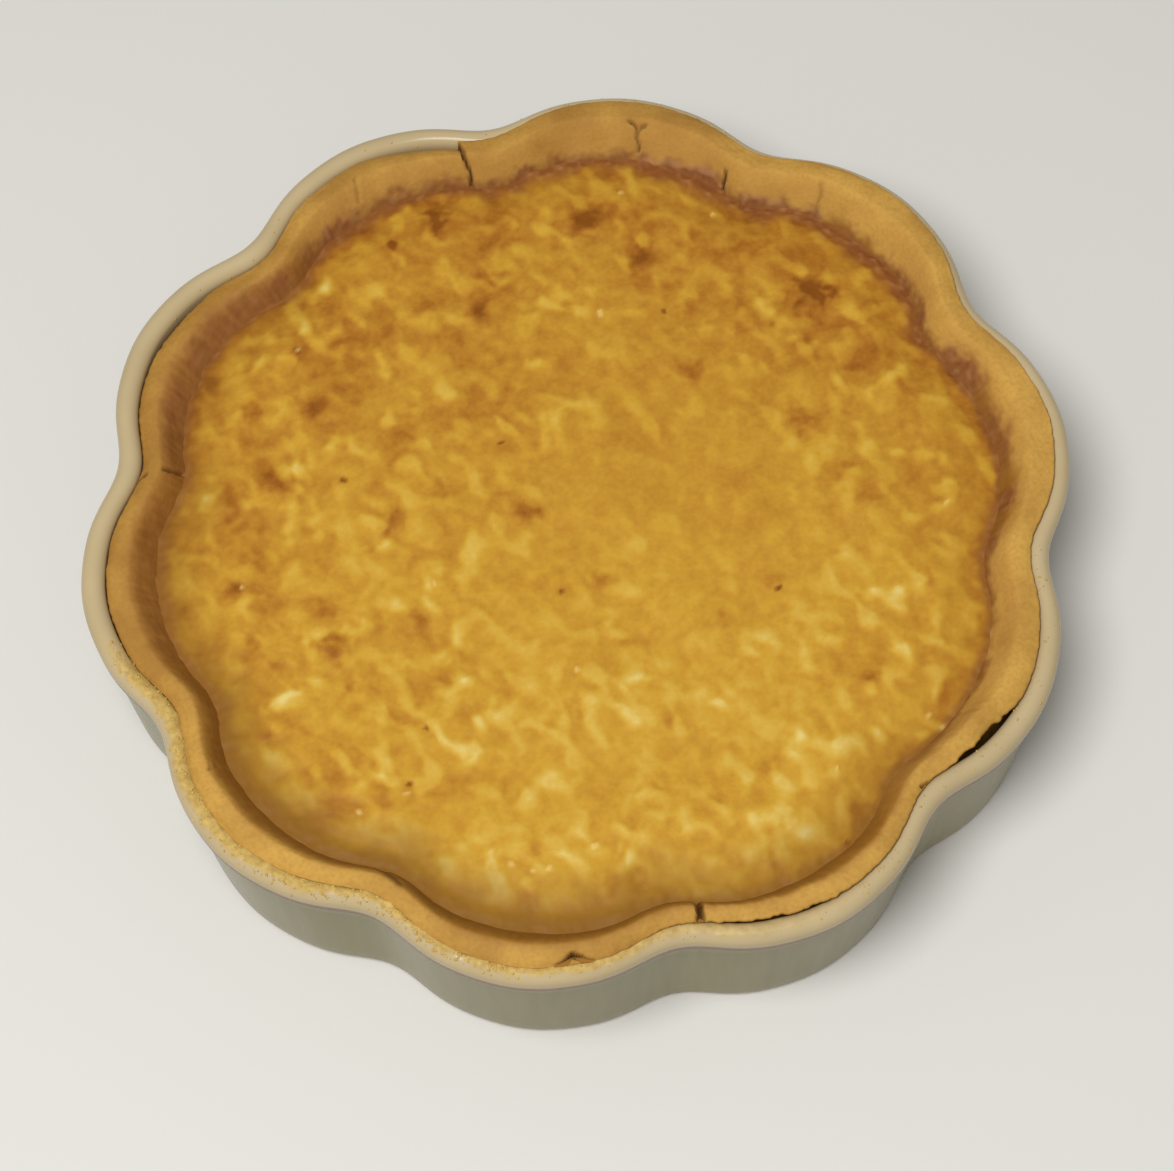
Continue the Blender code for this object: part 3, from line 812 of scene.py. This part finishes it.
# %% Colour and node helpers
# Socket numbers of a Mix node that mixes colours
FACTOR, FIRST, SECOND = 0, 6, 7


def linear(hex_colour):
    shares = [int(hex_colour[start:start + 2], 16) / 255 for start in (1, 3, 5)]
    return (*[s / 12.92 if s <= 0.04045 else ((s + 0.055) / 1.055) ** 2.4 for s in shares], 1.0)


def plug(node, links):
    """Links sockets, by name or number, to another socket or to a node's first output in use."""
    for key, source in links.items():
        if isinstance(source, bpy.types.Node):
            source = next(socket for socket in source.outputs if socket.enabled)
        node.id_data.links.new(source, node.inputs[key])


def add_node(tree, kind, settings=None, links=None):
    """Adds a node. Settings are properties by name or sockets by name or number."""
    node = tree.nodes.new(kind)
    for key, value in (settings or {}).items():
        if isinstance(key, str) and hasattr(node, key):
            setattr(node, key, value)
        else:
            node.inputs[key].default_value = value
    plug(node, links or {})
    return node


def new_material(name, piece):
    material = bpy.data.materials.new(name)
    material.use_nodes = True
    piece.data.materials.append(material)
    tree = material.node_tree
    return tree, tree.nodes["Principled BSDF"]


# %% [markdown]
# ## Glazed stoneware
# A cream glaze over a buff body: smooth, glossy and a little uneven in thickness. It
# pools pale on the rim and breaks to a thin brown line under it. It runs greyer, greener
# and darker down the wall, partly a painted shade. The underside is bare, matt stoneware.

# %% Glaze of the dish
def glaze_material(name, shine_level):
    tree, shader = new_material(name, glazed_dish)
    place = add_node(tree, "ShaderNodeTexCoord").outputs["Object"]
    height = add_node(tree, "ShaderNodeSeparateXYZ", links={0: place}).outputs["Z"]
    smear_value = add_node(tree, "ShaderNodeAttribute", {"attribute_name": "smear"}).outputs["Fac"]
    stretched = add_node(tree, "ShaderNodeMapping", {"Scale": (1.0, 1.0, 0.06)}, {"Vector": place})
    # Spacing of each pattern in mm, and its detail
    cloud, runs, dried = [
        add_node(tree, "ShaderNodeTexNoise", {"Scale": 1 / (size * MM), "Detail": detail}, {"Vector": where})
        for size, detail, where in ((30, 3, place), (4, 2, stretched), (1.8, 3, place))]
    # Each tone runs from a darker to a lighter colour with its own pattern
    # The wall's grey-green tone is darker than the rim's, partly a painted shade
    rim_tone, wall_tone_and_shade, dried_tone = [
        add_node(tree, "ShaderNodeMix", {"data_type": "RGBA", FIRST: linear(dark), SECOND: linear(light)},
                 {FACTOR: pattern})
        for pattern, dark, light in ((cloud, "#ad9a72", "#c6b28b"), (runs, "#878160", "#969070"),
                                     (dried, "#94702f", "#dcbf72"))]
    # The rim turns to wall, and the brown line comes and goes, at these mm below the top
    down_wall, line_up, line_down = [
        add_node(tree, "ShaderNodeMapRange", {
            "interpolation_type": "SMOOTHSTEP", "From Min": DISH_HEIGHT - start * MM,
            "From Max": DISH_HEIGHT - end * MM}, {"Value": height})
        for start, end in ((5.5, 10.0), (9.2, 8.0), (4.6, 6.0))]
    line = add_node(tree, "ShaderNodeMath", {"operation": "MULTIPLY"}, {0: line_up, 1: line_down})
    faint_line = add_node(tree, "ShaderNodeMath", {"operation": "MULTIPLY", 1: 0.9}, {0: line})
    underside = add_node(tree, "ShaderNodeMapRange", {"From Min": 1.6 * MM, "From Max": 1.3 * MM},
                         {"Value": height})
    colour = add_node(tree, "ShaderNodeMix", {"data_type": "RGBA"},
                      {FACTOR: down_wall, FIRST: rim_tone, SECOND: wall_tone_and_shade})
    for share, coat in ((faint_line, "#8c6836"), (underside, "#b9a78a")):
        colour = add_node(tree, "ShaderNodeMix", {"data_type": "RGBA", SECOND: linear(coat)},
                          {FACTOR: share, FIRST: colour})
    colour = add_node(tree, "ShaderNodeMix", {"data_type": "RGBA"},
                      {FACTOR: smear_value, FIRST: colour, SECOND: dried_tone})
    dull = add_node(tree, "ShaderNodeMath", {"operation": "MAXIMUM"}, {0: underside, 1: smear_value})
    shine = add_node(tree, "ShaderNodeMapRange", {"To Min": 0.22, "To Max": 0.70}, {"Value": dull})
    ripple = add_node(tree, "ShaderNodeBump", {"Strength": 0.25, "Distance": 0.3 * MM}, {"Height": cloud})
    plug(shader, {"Base Color": colour, "Roughness": shine, "Normal": ripple})
    shader.inputs["IOR"].default_value = 1.36
    shader.inputs["Specular IOR Level"].default_value = shine_level


# The wall's glaze is thinner and duller than the rim's, so it mirrors the floor less; its darker tone is
# partly a painted shade
glaze_material("cream_glazed_stoneware", 0.35)
glaze_material("thin_glazed_stoneware", 0.10)
for face in glazed_dish.data.polygons:
    face.material_index = int(face.center.z < DISH_HEIGHT - NECK_DROP)
print("dish finishes:", [material.name for material in glazed_dish.data.materials])

# %% [markdown]
# ## Baked shortcrust
# Flour, butter and egg bake to a matt, sandy gold. The wet slope beside the custard
# turns brown and shinier, reddish with paler granules at the back and right.

# %% Pastry material
def pastry_material(name, piece, dark_gold, light_gold):
    tree, shader = new_material(name, piece)
    place = add_node(tree, "ShaderNodeTexCoord").outputs["Object"]
    values = {}
    for value in ("across", "brown", "gilded", "rosy", "torn", "granules", "streaky"):
        values[value] = add_node(tree, "ShaderNodeAttribute", {"attribute_name": value}).outputs["Fac"]
    patches, sand = [
        add_node(tree, "ShaderNodeTexNoise", {"Scale": 1 / (size * MM), "Detail": detail}, {"Vector": place})
        for size, detail in ((14, 4), (1.2, 3))]
    patch_share = add_node(tree, "ShaderNodeMapRange", {
        "From Min": 0.32, "From Max": 0.68, "To Min": -0.25, "To Max": 0.30}, {"Value": patches})
    gold_share = add_node(tree, "ShaderNodeMath", {"operation": "ADD"},
                          {0: patch_share, 1: values["gilded"]})
    # Each tone runs from a darker to a lighter colour
    gold, plain_brown, rosy_brown = [
        add_node(tree, "ShaderNodeMix", {"data_type": "RGBA", FIRST: linear(dark), SECOND: linear(light)},
                 {FACTOR: share})
        for share, dark, light in ((gold_share, dark_gold, light_gold),
                                   (values["streaky"], "#8d5e20", "#9e6c29"),
                                   (values["streaky"], "#7a4628", "#965f38"))]
    # Bands over the pastry's width: where each starts, where it is full, and its most
    outer, middle, low_slope = [
        add_node(tree, "ShaderNodeMapRange", {
            "interpolation_type": "SMOOTHSTEP", "From Min": start, "From Max": full,
            "To Max": most}, {"Value": values["across"]})
        for start, full, most in ((0.30, 0.0, 0.18), (0.30, 0.65, 0.40), (0.70, 1.0, 0.45))]
    # Sand shows all over, and paler granules only where the slope is very reddish
    sand_share, bits, very_rosy = [
        add_node(tree, "ShaderNodeMapRange", {"From Min": start, "From Max": full, "To Max": most},
                 {"Value": value})
        for value, start, full, most in ((sand, 0.40, 0.75, 0.30), (values["granules"], 0.50, 0.90, 0.55),
                                         (values["rosy"], 0.55, 0.90, 1.0))]
    # At the back and right a painted shade darkens the outer edge, which slopes away from the
    # light, and painted light makes the middle warmer and lighter
    painted_shade_share, painted_light_share, rosy_bits = [
        add_node(tree, "ShaderNodeMath", {"operation": "MULTIPLY"}, {0: first, 1: second})
        for first, second in ((outer, values["rosy"]), (middle, values["rosy"]), (bits, very_rosy))]
    # Over the gold go sand, painted shade on the outer edge and painted light on the middle
    top = gold
    for share, coat in ((sand_share, "#8f6029"), (painted_shade_share, "#8b6a34"), (painted_light_share, "#c4934b")):
        top = add_node(tree, "ShaderNodeMix", {"data_type": "RGBA", SECOND: linear(coat)},
                       {FACTOR: share, FIRST: top})
    slope = add_node(tree, "ShaderNodeMix", {"data_type": "RGBA"},
                     {FACTOR: values["rosy"], FIRST: plain_brown, SECOND: rosy_brown})
    for share, coat in ((rosy_bits, "#c08f66"), (low_slope, "#7c4f1c")):
        slope = add_node(tree, "ShaderNodeMix", {"data_type": "RGBA", SECOND: linear(coat)},
                         {FACTOR: share, FIRST: slope})
    baked = add_node(tree, "ShaderNodeMix", {"data_type": "RGBA"},
                     {FACTOR: values["brown"], FIRST: top, SECOND: slope})
    # Tears are painted dark brown, partly a painted shade in their deep openings
    colour = add_node(tree, "ShaderNodeMix", {"data_type": "RGBA", SECOND: linear("#4e3012")},
                      {FACTOR: values["torn"], FIRST: baked})
    shine = add_node(tree, "ShaderNodeMapRange", {"To Min": 0.75, "To Max": 0.42},
                     {"Value": values["brown"]})
    rough = add_node(tree, "ShaderNodeBump", {"Strength": 0.45, "Distance": 0.25 * MM}, {"Height": sand})
    plug(shader, {"Base Color": colour, "Roughness": shine, "Normal": rough})
    shader.inputs["IOR"].default_value = 1.40
    shader.inputs["Specular IOR Level"].default_value = 0.3


pastry_material("baked_shortcrust", pastry_case, "#a37632", "#cc9f4a")
pastry_material("baked_shortcrust_crumbs", pastry_crumbs, "#c8a558", "#dcc07c")

# %% [markdown]
# ## Baked custard
# The set custard is yellow with orange-brown clouds, pale wrinkles and darker blisters
# where the skin has caught. A trace of fat leaves a soft, uneven gloss, and each wet spot gets a painted
# highlight.

# %% Custard material
tree, shader = new_material("baked_egg_custard", baked_custard)
place = add_node(tree, "ShaderNodeTexCoord").outputs["Object"]
values = {}
for name in skin_values:
    values[name] = add_node(tree, "ShaderNodeAttribute", {"attribute_name": name}).outputs["Fac"]
speckle = add_node(tree, "ShaderNodeTexNoise", {"Scale": 1 / (1.6 * MM), "Detail": 4.0},
                   {"Vector": place})
grain = add_node(tree, "ShaderNodeMapRange", {"To Min": -0.10, "To Max": 0.10}, {"Value": speckle})
tone_here = add_node(tree, "ShaderNodeMath", {"operation": "ADD"}, {0: values["tone"], 1: grain})
skin_tone = add_node(tree, "ShaderNodeValToRGB", links={0: tone_here})
ramp = skin_tone.color_ramp
ramp.elements[0].position = 0.05
ramp.elements[0].color = linear("#804a14")
ramp.elements[1].position = 0.98
ramp.elements[1].color = linear("#d9c172")
for position, hex_colour in ((0.25, "#a36a22"), (0.42, "#b6832b"), (0.58, "#c49632"), (0.76, "#cda746")):
    ramp.elements.new(position).color = linear(hex_colour)
tanned = add_node(tree, "ShaderNodeMix", {"data_type": "RGBA", SECOND: linear("#8c6422")},
                  {FACTOR: values["tan"], FIRST: skin_tone})
# The pastry has stained the border, reddish with paler bits at the back and right
border_tone = add_node(tree, "ShaderNodeMix", {
    "data_type": "RGBA", FIRST: linear("#865c24"), SECOND: linear("#814b2a")}, {FACTOR: values["rosy"]})
bits = add_node(tree, "ShaderNodeMapRange", {"From Min": 0.50, "From Max": 0.90, "To Max": 0.45},
                {"Value": values["granules"]})
rosy_bits = add_node(tree, "ShaderNodeMath", {"operation": "MULTIPLY"}, {0: bits, 1: values["rosy"]})
stain_tone = add_node(tree, "ShaderNodeMix", {"data_type": "RGBA", SECOND: linear("#b98a58")},
                      {FACTOR: rosy_bits, FIRST: border_tone})
stain_share = add_node(tree, "ShaderNodeMath", {"operation": "MULTIPLY", 1: 0.85}, {0: values["stain"]})
# Each wet spot gets a painted highlight, a pale yellow dot in the colour, besides its glossier roughness
glint_paint_share = add_node(tree, "ShaderNodeMath", {"operation": "MULTIPLY", 1: 0.50},
                     {0: values["wet_glint_spots"]})
colour = add_node(tree, "ShaderNodeMix", {"data_type": "RGBA"},
                  {FACTOR: stain_share, FIRST: tanned, SECOND: stain_tone})
for share, coat in ((values["specks"], "#7c4812"), (glint_paint_share, "#e6c878")):
    colour = add_node(tree, "ShaderNodeMix", {"data_type": "RGBA", SECOND: linear(coat)},
                      {FACTOR: share, FIRST: colour})
dull = add_node(tree, "ShaderNodeMapRange", {"To Min": 0.38, "To Max": 0.58}, {"Value": speckle})
# Sockets 2 and 3 of a Mix node that mixes numbers are its two values
shine = add_node(tree, "ShaderNodeMix", {"data_type": "FLOAT", 3: 0.22},
                 {0: values["wet_glint_spots"], 2: dull})
skin = add_node(tree, "ShaderNodeBump", {"Strength": 0.35, "Distance": 0.3 * MM}, {"Height": speckle})
plug(shader, {"Base Color": colour, "Roughness": shine, "Normal": skin})
shader.inputs["IOR"].default_value = 1.33
shader.inputs["Specular IOR Level"].default_value = 0.15
print("materials:", [material.name for material in bpy.data.materials])

# %% [markdown]
# ## Floor, light and camera
# A plain pale floor and one big softbox show the piece without a room. The camera looks
# down steeply from the front with a long lens. The view transform is Standard, so that
# the colours stay as they were picked.

# %% Floor
bpy.ops.object.select_all(action="DESELECT")
bpy.ops.mesh.primitive_plane_add(size=6.0, location=(0, 0, 0))
floor_sheet = bpy.context.object
floor_sheet.name = "studio_floor"
floor_sheet.data.transform(Matrix.Translation((0, 0, -0.2 * MM)))
tree, shader = new_material("pale_paper_floor", floor_sheet)
shader.inputs["Base Color"].default_value = linear("#d9d7d2")
shader.inputs["Roughness"].default_value = 0.9

# %% Lights
softbox = bpy.data.lights.new("main_softbox", "AREA")
softbox.shape = "DISK"
softbox.size = 0.65
softbox.energy = 19.0
lamp = bpy.data.objects.new("main_softbox", softbox)
bpy.context.scene.collection.objects.link(lamp)
lamp.location = (-0.34, -0.40, 1.42)
lamp.rotation_euler = (-lamp.location).to_track_quat("-Z", "Y").to_euler()
world = bpy.data.worlds.new("studio_air")
world.use_nodes = True
air = world.node_tree.nodes["Background"].inputs
air["Color"].default_value = linear("#e8e6e2")
air["Strength"].default_value = 0.40
bpy.context.scene.world = world
bpy.context.scene.view_settings.view_transform = "Standard"

# %% Camera
CAMERA_TARGET = Vector((2.19, 2.83, 0.0)) * MM
CAMERA_DISTANCE = 0.96223
CAMERA_ELEVATION = math.radians(63.64)
CAMERA_TURN = math.radians(-9.726)
CAMERA_ROLL = math.radians(-2.01)
CAMERA_LENS = 95.2
camera_data = bpy.data.cameras.new("photo_camera")
camera_data.lens = CAMERA_LENS
camera_data.sensor_width = 36.0
camera = bpy.data.objects.new("photo_camera", camera_data)
bpy.context.scene.collection.objects.link(camera)
aim = Matrix.Rotation(CAMERA_TURN, 4, "Z") @ Matrix.Rotation(math.pi / 2 - CAMERA_ELEVATION, 4, "X")
camera.matrix_world = (Matrix.Translation(CAMERA_TARGET) @ aim
                       @ Matrix.Translation((0, 0, CAMERA_DISTANCE))
                       @ Matrix.Rotation(CAMERA_ROLL, 4, "Z"))
bpy.context.scene.camera = camera
print("camera at", [round(value, 3) for value in camera.matrix_world.translation])
